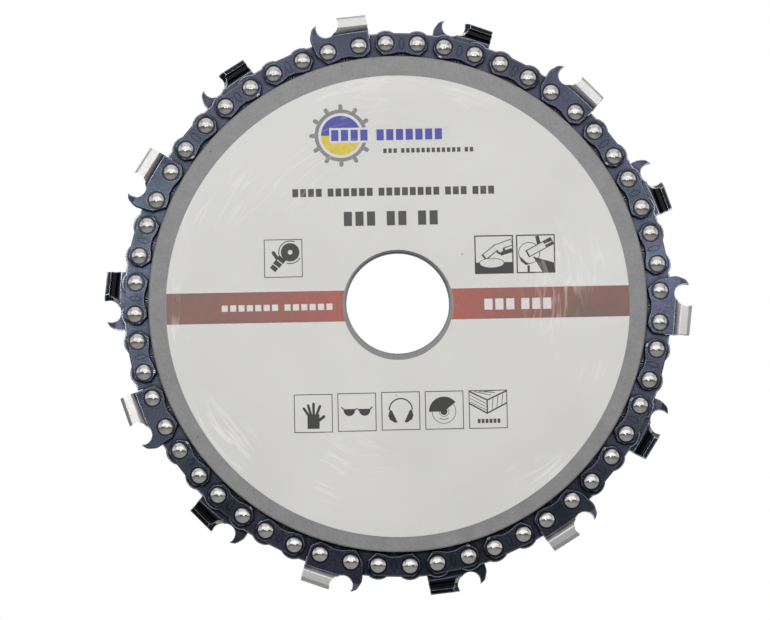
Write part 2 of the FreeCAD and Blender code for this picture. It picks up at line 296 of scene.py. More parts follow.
def make_grain():
    """Fine grain of blasted or rolled steel: a mask about one half, and a height."""
    group, given, out = new_group(
        "steel_grain",
        [("Place", "NodeSocketVector", None), ("Scale", "NodeSocketFloat", 2500.0)],
        [("Mask", "NodeSocketFloat"), ("Height", "NodeSocketFloat")],
    )
    fine = noise(group, given.outputs["Place"], given.outputs["Scale"], 4.0, 0.6)
    coarse = noise(group, given.outputs["Place"], maths(group, "MULTIPLY", given.outputs["Scale"], 0.12), 2.0)
    both = maths(group, "ADD", maths(group, "MULTIPLY", fine, 0.6), maths(group, "MULTIPLY", coarse, 0.4))
    group.links.new(both, out.inputs["Mask"])
    group.links.new(fine, out.inputs["Height"])
    return group


def make_specks():
    """Sparse dark specks and pin holes."""
    group, given, out = new_group(
        "specks",
        [
            ("Place", "NodeSocketVector", None),
            ("Scale", "NodeSocketFloat", 300.0),
            ("Size", "NodeSocketFloat", 0.12),
        ],
        [("Mask", "NodeSocketFloat")],
    )
    cells = add(
        group,
        "ShaderNodeTexVoronoi",
        None,
        {"Vector": given.outputs["Place"], "Scale": given.outputs["Scale"]},
    )
    near = maths(group, "LESS_THAN", cells.outputs["Distance"], given.outputs["Size"])
    shade = add(group, "ShaderNodeSeparateColor", None, {"Color": cells.outputs["Color"]})
    few = maths(group, "GREATER_THAN", shade.outputs["Red"], 0.8)
    group.links.new(maths(group, "MULTIPLY", near, few), out.inputs["Mask"])
    return group


def make_edges():
    """Where a surface turns over an edge, from the difference between its own normal and a softened one."""
    group, given, out = new_group(
        "worn_and_highlit_edges",
        [("Radius", "NodeSocketFloat", 0.0002), ("Strength", "NodeSocketFloat", 6.0)],
        [("Mask", "NodeSocketFloat")],
    )
    soft = add(group, "ShaderNodeBevel", {"samples": 12}, {"Radius": given.outputs["Radius"]})
    plain = add(group, "ShaderNodeNewGeometry")
    match = add(
        group,
        "ShaderNodeVectorMath",
        {"operation": "DOT_PRODUCT"},
        {0: soft.outputs["Normal"], 1: plain.outputs["Normal"]},
    )
    turned = maths(group, "SUBTRACT", 1.0, match.outputs["Value"])
    group.links.new(
        maths(group, "MULTIPLY", turned, given.outputs["Strength"], clamp=True), out.inputs["Mask"]
    )
    return group


def make_corner_shade():
    """Painted shade for corners and seats: a mask that is one where a surface is closely overlooked."""
    group, given, out = new_group(
        "painted_corner_shade",
        [("Reach", "NodeSocketFloat", 0.0008)],
        [("Mask", "NodeSocketFloat")],
    )
    open_sky = add(group, "ShaderNodeAmbientOcclusion", {"samples": 8}, {"Distance": given.outputs["Reach"]})
    mask = ramp(group, open_sky.outputs["AO"], [(0.45, 1.0), (0.95, 0.0)])
    group.links.new(mask, out.inputs["Mask"])
    return group


def make_polar():
    """Radius from the disc's axis and angle round it, seen from the front."""
    group, given, out = new_group(
        "round_the_axis",
        [("Place", "NodeSocketVector", None)],
        [("Radius", "NodeSocketFloat"), ("Angle", "NodeSocketFloat")],
    )
    parts = add(group, "ShaderNodeSeparateXYZ", None, {"Vector": given.outputs["Place"]})
    across = maths(group, "MULTIPLY", parts.outputs["X"], parts.outputs["X"])
    up = maths(group, "MULTIPLY", parts.outputs["Z"], parts.outputs["Z"])
    group.links.new(maths(group, "SQRT", maths(group, "ADD", across, up)), out.inputs["Radius"])
    group.links.new(
        maths(group, "ARCTAN2", parts.outputs["Z"], parts.outputs["X"]), out.inputs["Angle"]
    )
    return group


def make_link_places():
    """Where a link has its rivet seats and its stamped mark. The angle folds, so one link serves for all."""
    group, given, out = new_group(
        "link_places",
        [("Place", "NodeSocketVector", None)],
        [("Plain", "NodeSocketFloat"), ("Seat", "NodeSocketFloat")],
    )
    polar = use_group(group, polar_group, {"Place": given.outputs["Place"]})
    turned = maths(group, "SUBTRACT", polar.outputs["Angle"], REST_ANGLE)
    share = maths(group, "DIVIDE", turned, LINK_PITCH)
    folded = maths(group, "ABSOLUTE", maths(group, "SUBTRACT", share, maths(group, "ROUND", share)))
    along = maths(group, "MULTIPLY", maths(group, "MULTIPLY", folded, LINK_PITCH), RIVET_CIRCLE)
    out_by = maths(group, "SUBTRACT", polar.outputs["Radius"], RIVET_CIRCLE)
    from_rivet = add(
        group,
        "ShaderNodeCombineXYZ",
        None,
        {"X": maths(group, "SUBTRACT", along, RIVET_ALONG), "Y": out_by},
    )
    reach = add(group, "ShaderNodeVectorMath", {"operation": "LENGTH"}, {0: from_rivet.outputs["Vector"]})
    off_seat = maths(group, "GREATER_THAN", reach.outputs["Value"], SEAT_EDGE)
    from_mark = add(
        group, "ShaderNodeCombineXYZ", None, {"X": along, "Y": maths(group, "MULTIPLY", out_by, 0.6)}
    )
    away = add(group, "ShaderNodeVectorMath", {"operation": "LENGTH"}, {0: from_mark.outputs["Vector"]})
    off_mark = maths(group, "GREATER_THAN", away.outputs["Value"], MARK_EDGE)
    group.links.new(maths(group, "MULTIPLY", off_seat, off_mark), out.inputs["Plain"])
    group.links.new(maths(group, "SUBTRACT", 1.0, off_seat), out.inputs["Seat"])
    return group


def make_tint():
    """Colours of blued steel, from near black to steel blue with a little purple."""
    group, given, out = new_group(
        "blued_tint",
        [("Place", "NodeSocketVector", None), ("Scale", "NodeSocketFloat", 90.0)],
        [("Colour", "NodeSocketColor"), ("Mask", "NodeSocketFloat")],
    )
    drift = noise(group, given.outputs["Place"], given.outputs["Scale"], 3.0, 0.55, 0.4)
    colour = ramp(group, drift, BLUED_TINTS)
    group.links.new(colour, out.inputs["Colour"])
    group.links.new(drift, out.inputs["Mask"])
    return group


def make_label_wear():
    """Creases that run round the label, soft blotches, and the height of both; the crease mask also places a
    painted highlight.
    """
    group, given, out = new_group(
        "label_wear",
        [("Place", "NodeSocketVector", None)],
        [("Creases", "NodeSocketFloat"), ("Blotches", "NodeSocketFloat"), ("Height", "NodeSocketFloat")],
    )
    polar = use_group(group, polar_group, {"Place": given.outputs["Place"]})
    run = maths(group, "MULTIPLY", polar.outputs["Angle"], CREASES_ROUND)
    depth = maths(group, "MULTIPLY", polar.outputs["Radius"], CREASES_OUTWARDS)
    drawn = add(group, "ShaderNodeCombineXYZ", None, {"X": run, "Y": depth})
    lines = noise(group, drawn.outputs["Vector"], 1.0, 3.0, 0.5, 0.3)
    ridge = maths(group, "ABSOLUTE", maths(group, "SUBTRACT", lines, 0.5))
    thin = ramp(group, ridge, [(0.0, 1.0), (0.045, 0.0)])
    patches = ramp(group, noise(group, given.outputs["Place"], 48.0, 2.0), [(0.52, 0.0), (0.66, 1.0)])
    towards_rim = maths(group, "MULTIPLY", polar.outputs["Radius"], PER_WORN_RADIUS)
    outer = ramp(group, towards_rim, [(0.50, 0.0), (0.74, 1.0)])
    creases = maths(group, "MULTIPLY", maths(group, "MULTIPLY", thin, patches), outer)
    group.links.new(creases, out.inputs["Creases"])
    soft = noise(group, given.outputs["Place"], 38.0, 3.0, 0.5)
    group.links.new(soft, out.inputs["Blotches"])
    group.links.new(
        maths(group, "ADD", maths(group, "MULTIPLY", creases, 0.7), maths(group, "MULTIPLY", soft, 0.6)),
        out.inputs["Height"],
    )
    return group


grain_group = make_grain()
speck_group = make_specks()
edge_group = make_edges()
corner_shade_group = make_corner_shade()
polar_group = make_polar()
link_place_group = make_link_places()
tint_group = make_tint()
label_wear_group = make_label_wear()


# ---------------------------------------------------------------- finishes

def blasted_plate():
    """Matt grey blasted steel of the two plates, with fine grain and a few dark specks."""
    material, tree, shader, given = new_material("blasted_plate_steel")
    place = given.outputs["Object"]
    grain = use_group(tree, grain_group, {"Place": place, "Scale": 2200.0})
    colour = ramp(tree, grain.outputs["Mask"], PLATE_GREYS)
    specks = use_group(tree, speck_group, {"Place": place, "Scale": 420.0, "Size": 0.07})
    colour = mix(tree, specks.outputs["Mask"], colour, PLATE_SPECK)
    tree.links.new(colour, shader.inputs["Base Color"])
    rough = ramp(tree, grain.outputs["Mask"], [(0.3, 0.50), (0.7, 0.66)])
    tree.links.new(rough, shader.inputs["Roughness"])
    shader.inputs["Metallic"].default_value = 0.55
    tree.links.new(bump(tree, grain.outputs["Height"], 0.012 * MM), shader.inputs["Normal"])
    return material


def turned_core():
    """Brighter machined steel of the middle disc and of the rivets inside the plates."""
    material, tree, shader, given = new_material("turned_core_steel")
    grain = use_group(tree, grain_group, {"Place": given.outputs["Object"], "Scale": 1600.0})
    colour = ramp(tree, grain.outputs["Mask"], CORE_GREYS)
    tree.links.new(colour, shader.inputs["Base Color"])
    shader.inputs["Metallic"].default_value = 0.8
    shader.inputs["Roughness"].default_value = 0.38
    tree.links.new(bump(tree, grain.outputs["Height"], 0.006 * MM), shader.inputs["Normal"])
    return material


def blued_link():
    """Blued spring steel of the straps and drive links, paler where it rolls over an edge from wear and
    painted highlight, with painted shade round the rivet heads and in corners.
    """
    material, tree, shader, given = new_material("blued_link_steel")
    colour, rough, normal, _ = blued_surface(tree, given.outputs["Object"])
    tree.links.new(colour, shader.inputs["Base Color"])
    tree.links.new(rough, shader.inputs["Roughness"])
    tree.links.new(normal, shader.inputs["Normal"])
    shader.inputs["Metallic"].default_value = 0.9
    return material


def blued_surface(tree, place):
    """The blued steel's colour, roughness and normal, and where its edges are made bright by wear and painted
    highlight; rivet seats and corners are darkened as painted shade.
    """
    tint = use_group(tree, tint_group, {"Place": place, "Scale": 58.0})
    grain = use_group(tree, grain_group, {"Place": place, "Scale": 1800.0})
    edges = use_group(tree, edge_group, {"Radius": 0.32 * MM, "Strength": 30.0})
    corner_shade_mask = use_group(tree, corner_shade_group, {"Reach": 0.85 * MM})
    shade = ramp(tree, grain.outputs["Mask"], [(0.3, 0.84), (0.7, 1.00)])
    colour = mix(tree, 1.0, tint.outputs["Colour"], shade, "MULTIPLY")
    places = use_group(tree, link_place_group, {"Place": place})
    # Rolled edges are painted pale, partly as rubbing wear and partly as painted highlight; rivet seats and
    # the stamped mark are spared.
    open_to_wear_and_highlight = maths(tree, "MULTIPLY", places.outputs["Plain"], EDGE_WEAR_AND_HIGHLIGHT_STRENGTH)
    worn_and_highlit = maths(tree, "MULTIPLY", edges.outputs["Mask"], open_to_wear_and_highlight)
    colour = mix(tree, worn_and_highlit, colour, EDGE_WEAR_AND_HIGHLIGHT)
    # Painted shade: a dark ring round each rivet head, where its seat lies in shade.
    seat_shade = maths(tree, "MULTIPLY", places.outputs["Seat"], SEAT_SHADE_STRENGTH)
    colour = mix(tree, seat_shade, colour, SEAT_SHADE)
    # Painted shade: closely overlooked corners are darkened.
    corner = maths(tree, "MULTIPLY", corner_shade_mask.outputs["Mask"], CORNER_SHADE_STRENGTH)
    colour = mix(tree, corner, colour, CORNER_SHADE)
    rough = ramp(tree, grain.outputs["Mask"], [(0.3, 0.20), (0.7, 0.32)])
    return colour, rough, bump(tree, grain.outputs["Height"], 0.004 * MM), worn_and_highlit


def cutter_steel(name, outward):
    """Blued steel with bright plating on the outside of the tooth and painted shade on its bare inside;
    outward is -1 in front and 1 behind.
    """
    material, tree, shader, given = new_material(name)
    place = given.outputs["Object"]
    colour, rough, normal, worn_and_highlit = blued_surface(tree, place)
    polar = use_group(tree, polar_group, {"Place": place})
    above_bend = maths(tree, "SUBTRACT", polar.outputs["Radius"], PLATED_RADIUS)
    beyond = maths(tree, "DIVIDE", above_bend, PLATED_FADE, clamp=True)
    turned = maths(tree, "SUBTRACT", polar.outputs["Angle"], REST_ANGLE)
    share = maths(tree, "DIVIDE", turned, CUTTER_PITCH)
    folded = maths(tree, "SUBTRACT", share, maths(tree, "ROUND", share))
    tooth_side = maths(tree, "LESS_THAN", folded, TOOTH_SIDE_ANGLE / CUTTER_PITCH)
    facing = add(tree, "ShaderNodeSeparateXYZ", None, {"Vector": given.outputs["Normal"]})
    spot = add(tree, "ShaderNodeSeparateXYZ", None, {"Vector": place})
    radial = maths(
        tree,
        "DIVIDE",
        maths(
            tree,
            "ADD",
            maths(tree, "MULTIPLY", facing.outputs["X"], spot.outputs["X"]),
            maths(tree, "MULTIPLY", facing.outputs["Z"], spot.outputs["Z"]),
        ),
        polar.outputs["Radius"],
    )
    sideways = maths(tree, "MULTIPLY", facing.outputs["Y"], outward)
    outside = maths(tree, "GREATER_THAN", maths(tree, "ADD", radial, sideways), OUTSIDE_SLACK)
    tooth = maths(tree, "MULTIPLY", beyond, tooth_side)
    plated = maths(tree, "MULTIPLY", tooth, outside)
    bare = maths(tree, "SUBTRACT", tooth, plated)
    # The bare inside of the tooth is painted near black as shade, except where its edges are painted pale.
    away_from_bright_edges = maths(tree, "SUBTRACT", INSIDE_SHADE_STRENGTH, worn_and_highlit, clamp=True)
    inside_shade = maths(tree, "MULTIPLY", bare, away_from_bright_edges)
    colour = mix(tree, inside_shade, colour, INSIDE_SHADE)
    grain = use_group(tree, grain_group, {"Place": place, "Scale": 900.0})
    bright = ramp(tree, grain.outputs["Mask"], PLATING_GREYS)
    tree.links.new(mix(tree, plated, colour, bright), shader.inputs["Base Color"])
    tree.links.new(mix(tree, plated, rough, PLATING_ROUGHNESS), shader.inputs["Roughness"])
    tree.links.new(normal, shader.inputs["Normal"])
    shader.inputs["Metallic"].default_value = 0.92
    return material


def rivet_steel():
    """Bright spun rivet heads, slightly uneven and dulled in places."""
    material, tree, shader, given = new_material("rivet_steel")
    place = given.outputs["Object"]
    dull = noise(tree, place, 1300.0, 4.0, 0.65)
    colour = ramp(tree, dull, RIVET_GREYS)
    tree.links.new(colour, shader.inputs["Base Color"])
    tree.links.new(ramp(tree, dull, [(0.3, 0.10), (0.7, 0.20)]), shader.inputs["Roughness"])
    shader.inputs["Metallic"].default_value = 1.0
    tree.links.new(bump(tree, dull, 0.035 * MM), shader.inputs["Normal"])
    return material


def gap_shade():
    """Dark glossy painted shade for the chain's slits, uneven and duller in places."""
    material, tree, shader, given = new_material("gap_shade")
    uneven_tone = noise(tree, given.outputs["Object"], 700.0, 3.0, 0.6)
    tree.links.new(ramp(tree, uneven_tone, GAP_SHADE_COLOURS), shader.inputs["Base Color"])
    tree.links.new(ramp(tree, uneven_tone, [(0.3, 0.10), (0.7, 0.28)]), shader.inputs["Roughness"])
    tree.links.new(bump(tree, uneven_tone, 0.01 * MM), shader.inputs["Normal"])
    return material


def label_paper():
    """Pale grey laminated label, creased, with painted highlight along the creases, and slightly blotched."""
    material, tree, shader, given = new_material("label_paper")
    place = given.outputs["Object"]
    wear = use_group(tree, label_wear_group, {"Place": place})
    base = ramp(tree, wear.outputs["Blotches"], PAPER_GREYS)
    # Painted highlight: creases are painted pale.
    crease_highlight = maths(tree, "MULTIPLY", wear.outputs["Creases"], CREASE_HIGHLIGHT_STRENGTH)
    base = mix(tree, crease_highlight, base, PAPER_CREASE_HIGHLIGHT)
    specks = use_group(tree, speck_group, {"Place": place, "Scale": 143.0, "Size": 0.045})
    specked = maths(tree, "MULTIPLY", specks.outputs["Mask"], SPECK_STRENGTH)
    base = mix(tree, specked, base, PAPER_SPECK)
    tree.links.new(base, shader.inputs["Base Color"])
    shader.inputs["Roughness"].default_value = 0.38
    tree.links.new(bump(tree, wear.outputs["Height"], 0.03 * MM), shader.inputs["Normal"])
    return material


def ink(name, colour, worn=None):
    """Printed ink under the label's laminate, with painted highlight along its creases; worn is the colour at
    the label's rim.
    """
    material, tree, shader, given = new_material(name)
    place = given.outputs["Object"]
    wear = use_group(tree, label_wear_group, {"Place": place})
    deep = tuple(INK_SHADE * c for c in colour)
    base = ramp(tree, noise(tree, place, 1400.0, 3.0, 0.6), [(0.3, deep), (0.7, colour)])
    if worn:
        polar = use_group(tree, polar_group, {"Place": place})
        towards_rim = maths(tree, "MULTIPLY", polar.outputs["Radius"], PER_WORN_RADIUS)
        outer = ramp(tree, towards_rim, [(0.25, 0.0), (0.80, 1.0)])
        patches = ramp(tree, noise(tree, place, 150.0, 3.0, 0.5), [(0.38, 0.65), (0.64, 1.0)])
        base = mix(tree, maths(tree, "MULTIPLY", outer, patches), base, worn)
    # Painted highlight: creases are painted pale.
    crease_highlight = maths(tree, "MULTIPLY", wear.outputs["Creases"], INK_CREASE_HIGHLIGHT_STRENGTH)
    base = mix(tree, crease_highlight, base, INK_CREASE_HIGHLIGHT)
    tree.links.new(base, shader.inputs["Base Color"])
    shader.inputs["Roughness"].default_value = 0.36
    tree.links.new(bump(tree, wear.outputs["Height"], 0.03 * MM), shader.inputs["Normal"])
    return material


# ---------------------------------------------------------------- label print
# Print shapes are drawn flat in millimetres, x across and y up from the middle of the bore,
# then laid on the label's face and given the thickness of the ink.

class Sheet:
    """One colour of the print. Each shape lies a hair above the last, so overlaps stay clean."""

    def __init__(self):
        self.mesh = bmesh.new()
        self.level = 0.0
        self.middle = (0.0, 0.0)

    def place(self, x, y, turn=0.0, across=1.0, tall=1.0):
        """Where the next shape lies, from the middle that is being drawn about."""
        self.level += SHAPE_STEP
        spot = (self.middle[0] + x, self.middle[1] + y, self.level)
        moved = Matrix.Translation(spot) @ Matrix.Rotation(turn, 4, "Z")
        return moved @ Matrix.Diagonal((across, tall, 1.0, 1.0))


def bar(sheet, x, y, width, height, turn=0.0):
    """A plain bar about its middle."""
    place = sheet.place(x, y, turn, width, height)
    bmesh.ops.create_grid(sheet.mesh, x_segments=1, y_segments=1, size=0.5, matrix=place)


def line(sheet, start, end, width):
    """A thin bar from one point to another, a little over at both ends."""
    run = (end[0] - start[0], end[1] - start[1])
    middle = ((start[0] + end[0]) / 2.0, (start[1] + end[1]) / 2.0)
    bar(sheet, *middle, math.hypot(*run) + width * LINE_OVERRUN, width, math.atan2(run[1], run[0]))


def dot(sheet, x, y, radius, stretch=1.0):
    """A filled circle or flat oval."""
    place = sheet.place(x, y, tall=stretch)
    bmesh.ops.create_circle(sheet.mesh, cap_ends=True, segments=CIRCLE_STEPS, radius=radius, matrix=place)


def finger(sheet, x, y, length, width, turn):
    """A bar with a round end, from its root."""
    across = (math.cos(turn), math.sin(turn))
    bar(sheet, x + across[0] * length / 2.0, y + across[1] * length / 2.0, length, width, turn)
    dot(sheet, x + across[0] * length, y + across[1] * length, width / 2.0)


def hoop(sheet, x, y, outer, inner, start=0.0, end=FULL_TURN, steps=CIRCLE_STEPS):
    """A ring, or the part of one between two angles."""
    place = sheet.place(x, y) @ Matrix.Rotation(start, 4, "Z")
    ends = [sheet.mesh.verts.new(place @ Vector((radius, 0.0, 0.0))) for radius in (inner, outer)]
    bmesh.ops.spin(
        sheet.mesh,
        geom=[*ends, sheet.mesh.edges.new(ends)],
        cent=place.translation,
        axis=(0.0, 0.0, 1.0),
        angle=end - start,
        steps=steps,
        use_merge=end - start == FULL_TURN,
    )


def shape(sheet, x, y, corners):
    """A flat shape from its corners."""
    place = sheet.place(x, y)
    sheet.mesh.faces.new([sheet.mesh.verts.new(place @ Vector((*corner, 0.0))) for corner in corners])


def wedge(sheet, x, y, radius, start, end):
    """A slice of a filled circle between two angles."""
    turns = [start + (end - start) * step / CIRCLE_STEPS for step in range(CIRCLE_STEPS + 1)]
    rim = [(radius * math.cos(turn), radius * math.sin(turn)) for turn in turns]
    shape(sheet, x, y, [(0.0, 0.0), *rim])


def square_outline(sheet, side, width):
    """A square frame about the middle."""
    half = side / 2.0
    corners = [(-half, -half), (half, -half), (half, half), (-half, half)]
    for start, end in zip(corners, corners[1:] + corners[:1]):
        line(sheet, start, end, width)


def lay_print(name, material, draw, layer=0, middle=(0.0, 0.0)):
    """Draws one colour of the print about a middle and lays it on the label's face as a thin film."""
    sheet = Sheet()
    sheet.middle = middle
    draw(sheet)
    mesh = sheet.mesh
    for face in mesh.faces:
        face.normal_update()
        if face.normal.z < 0.0:
            face.normal_flip()
    raised = bmesh.ops.extrude_face_region(mesh, geom=list(mesh.faces), use_keep_orig=True)
    lifted = [v for v in raised["geom"] if isinstance(v, bmesh.types.BMVert)]
    bmesh.ops.translate(mesh, verts=lifted, vec=(0.0, 0.0, PRINT_THICKNESS * (1 + layer)))
    bmesh.ops.recalc_face_normals(mesh, faces=mesh.faces)
    place = (
        Matrix.Translation((0.0, label_face, 0.0))
        @ Matrix.Rotation(math.radians(90.0), 4, "X")
        @ Matrix.Rotation(PRINT_TURN, 4, "Z")
        @ Matrix.Scale(MM, 4)
        @ Matrix.Translation((0.0, 0.0, -PRINT_SINK))
    )
    bmesh.ops.transform(mesh, matrix=place, verts=mesh.verts)
    piece = make_object(mesh, name, material)
    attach(piece, "disc")


def band_between(sheet, low, high):
    """The part of the label's ring between two heights."""
    strip = Sheet()
    outer = label_radius / MM - PRINT_MARGIN
    inner = label_bore / MM + PRINT_MARGIN
    hoop(strip, 0.0, label_centre.z / MM, outer, inner, steps=RING_STEPS)
    for height, outside in ((high, 1.0), (low, -1.0)):
        bmesh.ops.bisect_plane(
            strip.mesh,
            geom=[*strip.mesh.verts, *strip.mesh.edges, *strip.mesh.faces],
            plane_co=(0.0, height, 0.0),
            plane_no=(0.0, outside, 0.0),
            clear_outer=True,
        )
    cut = bpy.data.meshes.new("strip")
    strip.mesh.to_mesh(cut)
    strip.mesh.free()
    sheet.mesh.from_mesh(cut)
    bpy.data.meshes.remove(cut)


def draw_band(sheet):
    band_between(sheet, BAND_LOW - BAND_HEIGHT / 2.0, BAND_LOW + BAND_HEIGHT / 2.0)


def draw_band_borders(sheet):
    top = BAND_LOW + BAND_HEIGHT / 2.0
    bottom = BAND_LOW - BAND_HEIGHT / 2.0
    band_between(sheet, top, top + BORDER_HEIGHT)
    band_between(sheet, bottom - BORDER_HEIGHT, bottom)


def draw_words(sheet, left, y, height, words, block, gap, space):
    """A row of plain blocks in place of wording, by how many blocks each word has."""
    x = left
    for count in words:
        for _ in range(count):
            bar(sheet, x + block / 2.0, y, block, height)
            x += block + gap
        x += space


def draw_dark_words(sheet):
    draw_words(sheet, -22.3, 24.0, 1.75, (4, 6, 8, 3, 3), block=1.26, gap=0.43, space=0.85)
    draw_words(sheet, -11.3, 18.2, 3.1, (3, 2, 2), block=1.75, gap=0.75, space=1.75)
    draw_words(sheet, -2.5, 32.9, 1.0, (3, 12, 2), block=0.72, gap=0.38, space=0.55)
    draw_words(sheet, 16.6, -26.0, 0.9, (6,), block=0.6, gap=0.25, space=0.0)


def draw_name_blocks(sheet):
    draw_words(sheet, -13.7, 36.4, 2.4, (4, 7), block=1.55, gap=0.55, space=1.4)


def draw_name_halo(sheet):
    bar(sheet, -1.1, 36.4, 26.0, 3.3)


def draw_pale_words(sheet):
    draw_words(sheet, -37.9, -0.75, 1.35, (7, 6), block=1.30, gap=0.5, space=0.9)
    draw_words(sheet, 18.6, -0.85, 2.4, (3, 3), block=1.75, gap=0.6, space=0.9)


def draw_badge_ring(sheet):
    """A plain toothed ring."""
    hoop(sheet, 0.0, 0.0, BADGE_RADIUS, BADGE_RADIUS - BADGE_RING)
    for tooth in range(BADGE_TEETH):
        turn = FULL_TURN * tooth / BADGE_TEETH
        root = (BADGE_RADIUS * math.cos(turn), BADGE_RADIUS * math.sin(turn))
        finger(sheet, *root, *BADGE_TOOTH, turn)


def draw_badge_top(sheet):
    wedge(sheet, 0.0, 0.0, BADGE_DISC_RADIUS, 0.0, math.pi)


def draw_badge_foot(sheet):
    wedge(sheet, 0.0, 0.0, BADGE_DISC_RADIUS, math.pi, FULL_TURN)


# Pictograms, each drawn in millimetres about the middle of its own frame.

def draw_icon_frames(sheet):
    for name, place in ICON_PLACES.items():
        sheet.middle = place
        square_outline(sheet, ICON_SIDE, ICON_BOLD_LINE if name.startswith("cut") else ICON_LINE)


def draw_grinder(sheet):
    """A grinder seen from the side: wheel, guard arcs, striped body and side handle."""
    wheel = (1.5, 1.3)
    lean = math.radians(50)
    hoop(sheet, *wheel, 2.0, 0.5)
    hoop(sheet, *wheel, 2.55, 2.35, math.radians(65), math.radians(200), 20)
    hoop(sheet, *wheel, 2.55, 2.35, math.radians(250), math.radians(330), 12)
    for along, width in ((-1.5, 1.9), (-2.7, 1.7), (-3.9, 1.5)):
        x = wheel[0] + along * math.cos(lean) - 1.0
        y = wheel[1] + along * math.sin(lean) - 0.4
        bar(sheet, x, y, 1.0, width, lean)
    finger(sheet, -1.2, -0.2, 1.7, 0.75, math.radians(122))


def draw_cut_flat(sheet):
    """A grinder laid flat on a face."""
    bar(sheet, 0.0, -2.85, 8.0, 2.3)
    dot(sheet, -0.5, -1.9, 2.75, 0.42)
    line(sheet, (-1.9, -0.4), (0.4, 1.4), 1.5)
    line(sheet, (0.4, 1.4), (3.5, 2.5), 1.5)
    line(sheet, (1.6, 0.2), (3.7, 0.8), 0.9)
    dot(sheet, 1.4, 1.0, 1.0)


def draw_cut_flat_gaps(sheet):
    dot(sheet, -0.5, -1.85, 2.55, 0.38)
    line(sheet, (-1.7, -0.2), (0.4, 1.4), 1.1)
    line(sheet, (0.6, 1.5), (3.5, 2.5), 1.1)
    dot(sheet, 1.4, 1.0, 0.55)


def draw_cut_edge(sheet):
    """A grinder cutting into an edge."""
    hoop(sheet, -1.4, 0.2, 2.35, 2.2)
    shape(sheet, 0.0, 0.0, [(-0.6, -0.6), (4.0, -2.0), (4.0, -4.0), (1.4, -4.0)])
    shape(sheet, 0.0, 0.0, [(-3.7, -0.3), (-1.5, -2.3), (-2.2, -2.4), (-3.2, -1.6)])
    line(sheet, (-1.4, 0.2), (3.2, 2.6), 1.7)
    line(sheet, (0.4, 3.6), (0.9, 1.4), 0.8)
    bar(sheet, -1.6, -3.2, 0.5, 1.4)


def draw_cut_edge_gaps(sheet):
    line(sheet, (-1.2, 0.3), (1.6, 1.75), 1.3)
    for step in (2.4, 3.0, 3.6):
        bar(sheet, step - 0.6, 0.9 + step * 0.42, 0.2, 1.1, math.radians(-62))


def draw_glove(sheet):
    bar(sheet, 0.0, -1.75, 2.6, 3.1)
    for side, length, turn in ((-0.95, 1.9, 124), (-0.5, 2.3, 105), (0.05, 2.6, 90), (0.6, 2.2, 68)):
        finger(sheet, side, -0.5, length, 0.55, math.radians(turn))
    finger(sheet, 0.7, -1.9, 1.95, 0.62, math.radians(38))


def draw_glasses(sheet):
    for side in (-1, 1):
        wedge(sheet, side * 1.65, 0.4, 1.2, math.pi, FULL_TURN)
        bar(sheet, side * 1.65, 0.45, 2.4, 0.5)
        line(sheet, (side * 2.7, 0.5), (side * 3.3, 1.1), 0.25)
    hoop(sheet, 0.0, 0.35, 0.5, 0.28, 0.0, math.pi, 12)


def draw_muffs(sheet):
    hoop(sheet, 0.0, 0.2, 2.6, 2.32, 0.0, math.pi, 28)
    cup = ((2.35, 0.3), (1.9, 0.1), (0.75, -2.4), (1.3, -2.55), (2.4, -1.8), (2.7, -1.0))
    for side in (-1, 1):
        shape(sheet, 0.0, 0.0, [(side * x, y) for x, y in cup])


def draw_guard(sheet):
    """A guard over a turning disc."""
    hub = (-0.1, -0.3)
    low, high = math.radians(180), math.radians(398)
    wedge(sheet, *hub, 3.2, math.radians(38), math.radians(180))
    dot(sheet, *hub, 0.75)
    hoop(sheet, *hub, 2.6, 2.48, low, high, 40)
    hoop(sheet, *hub, 1.1, 1.0, low, high, 40)
    hoop(sheet, *hub, 1.75, 1.6, math.radians(235), math.radians(305), 16)


def draw_block(sheet):
    """The corner of a wooden block, with its grain."""
    left, right, middle = -4.0, 4.0, -0.2
    low, shoulder, fold, top = -0.85, 1.3, 2.0, 3.9
    for start, end in (
        ((left, shoulder), (middle, low)),
        ((middle, low), (right, shoulder)),
        ((left, top), (middle, fold)),
        ((middle, fold), (right, top)),
        ((middle, low), (middle, fold)),
    ):
        line(sheet, start, end, 0.3)
    for step in (0.25, 0.5, 0.75):
        drop = step * (fold - low)
        across = step * (right - middle)
        left_grain = ((left + 0.2, top - 0.1 - drop), (middle - 0.3, fold - drop))
        right_grain = (
            (middle + across, low + 0.3 + 0.5 * across),
            (middle + across + 0.25, fold + 0.4 * across),
        )
        top_grain = ((left + across, top - 0.1 * step), (middle + 0.8 * across, fold + 0.5 + 0.5 * across))
        for start, end in (left_grain, right_grain, top_grain):
            line(sheet, start, end, 0.13)


icon_drawings = {
    "grinder": draw_grinder,
    "cut_flat": draw_cut_flat,
    "cut_edge": draw_cut_edge,
    "glove": draw_glove,
    "glasses": draw_glasses,
    "muffs": draw_muffs,
    "guard": draw_guard,
    "block": draw_block,
}
gap_drawings = {"cut_flat": draw_cut_flat_gaps, "cut_edge": draw_cut_edge_gaps}


